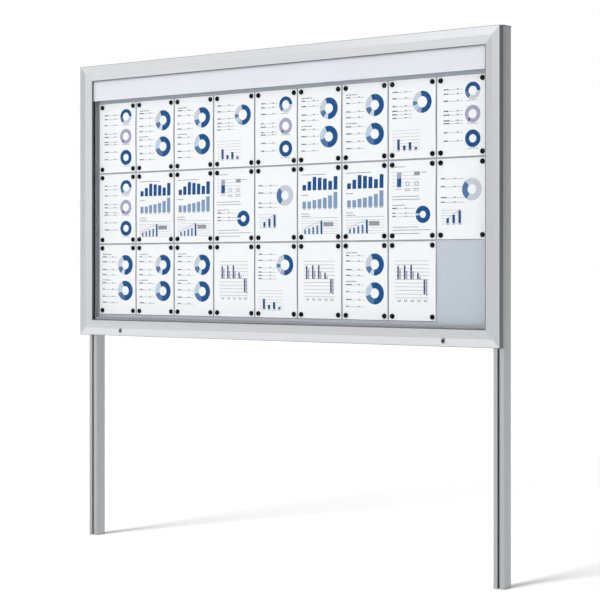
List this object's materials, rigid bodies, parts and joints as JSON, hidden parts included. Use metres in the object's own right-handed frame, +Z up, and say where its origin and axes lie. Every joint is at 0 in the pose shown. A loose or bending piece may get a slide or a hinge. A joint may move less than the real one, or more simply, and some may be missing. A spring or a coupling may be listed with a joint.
{
  "type": "lockable notice board",
  "caption": "Wide outdoor notice board on extruded posts: shallow aluminium case with a top hinged, glazed, lockable door over magnetic A4 sheets.",
  "frame": {"origin": "middle of the ground footprint, on the ground plane", "axes": "the board faces -Y, +X to its right as seen from the front, +Z up"},
  "size_m": [2.08, 0.0996, 2.021],
  "materials": {
    "post_aluminium": "natural anodised, fine extrusion lines",
    "door_aluminium": "natural anodised, satin",
    "case_aluminium": "natural anodised, satin",
    "cast_aluminium": "plain",
    "black_plastic": "moulded, fine grain",
    "zinc_steel": "bright zinc plated",
    "coated_steel": "pale blue-grey powder coat",
    "black_rubber": "extruded",
    "clear_pane": "clear",
    "header_panel": "pale blue-grey, satin",
    "lock_chrome": "polished",
    "strut_rod": "hard chrome",
    "strut_tube": "black lacquer",
    "printed_card": "printed, matt",
    "magnet_plastic": "moulded"
  },
  "bodies": {
    "stand": {"left_post": "post_aluminium", "right_post": "post_aluminium", "left_post_cap": "black_plastic", "right_post_cap": "black_plastic", "cap_screws": "zinc_steel", "case_top_rail": "case_aluminium", "case_bottom_rail": "case_aluminium", "case_left_stile": "case_aluminium", "case_right_stile": "case_aluminium", "case_corner_plates": "cast_aluminium", "back_panel": "coated_steel", "door_seal": "black_rubber", "mounting_bolts": "zinc_steel", "bolt_washers": "zinc_steel", "sliding_nuts": "zinc_steel", "left_lower_strut_bracket": "zinc_steel", "right_lower_strut_bracket": "zinc_steel", "notice_sheets": "printed_card", "sheet_magnets": "magnet_plastic"},
    "door": {"door_top_rail": "door_aluminium", "door_bottom_rail": "door_aluminium", "door_left_stile": "door_aluminium", "door_right_stile": "door_aluminium", "door_corner_keys": "cast_aluminium", "glazing_rubber": "black_rubber", "clear_pane": "clear_pane", "header_panel": "header_panel", "left_lock_barrel": "lock_chrome", "right_lock_barrel": "lock_chrome", "lock_nuts": "zinc_steel", "left_upper_strut_bracket": "zinc_steel", "right_upper_strut_bracket": "zinc_steel"},
    "left_lock": {"left_lock_plug": "lock_chrome", "left_lock_cam": "zinc_steel", "left_cam_screw": "zinc_steel"},
    "right_lock": {"right_lock_plug": "lock_chrome", "right_lock_cam": "zinc_steel", "right_cam_screw": "zinc_steel"},
    "left_strut_rod": {"left_strut_rod": "strut_rod"},
    "left_strut_tube": {"left_strut_tube": "strut_tube"},
    "right_strut_rod": {"right_strut_rod": "strut_rod"},
    "right_strut_tube": {"right_strut_tube": "strut_tube"}
  },
  "joints": [
    {"name": "door_hinge", "type": "hinge", "parent": "stand", "child": "door", "pos_m": [0, -0.01725, 2.009], "axis": [-1, 0, 0], "range_deg": [0, 80]},
    {"name": "left_lock_turn", "type": "hinge", "parent": "door", "child": "left_lock", "pos_m": [-0.803, -0.04825, 0.886], "axis": [0, 1, 0], "range_deg": [0, 90]},
    {"name": "right_lock_turn", "type": "hinge", "parent": "door", "child": "right_lock", "pos_m": [0.803, -0.04825, 0.886], "axis": [0, -1, 0], "range_deg": [0, 90]},
    {"name": "left_strut_swing", "type": "hinge", "parent": "stand", "child": "left_strut_rod", "pos_m": [-1.004, -0.01225, 1.569], "axis": [1, 0, 0], "range_deg": [0, 16.6]},
    {"name": "left_strut_slide", "type": "slide", "parent": "left_strut_rod", "child": "left_strut_tube", "axis": [0, 0, 1], "range_m": [0, 0.113]},
    {"name": "right_strut_swing", "type": "hinge", "parent": "stand", "child": "right_strut_rod", "pos_m": [1.004, -0.01225, 1.569], "axis": [1, 0, 0], "range_deg": [0, 16.6]},
    {"name": "right_strut_slide", "type": "slide", "parent": "right_strut_rod", "child": "right_strut_tube", "axis": [0, 0, 1], "range_m": [0, 0.113]}
  ],
  "couplings": [
    {"joint": "left_strut_swing", "follows": "door_hinge", "ratio": 0.20562},
    {"joint": "left_strut_slide", "follows": "door_hinge", "m_per_rad": 0.080155},
    {"joint": "right_strut_swing", "follows": "door_hinge", "ratio": 0.20562},
    {"joint": "right_strut_slide", "follows": "door_hinge", "m_per_rad": 0.080155}
  ]
}
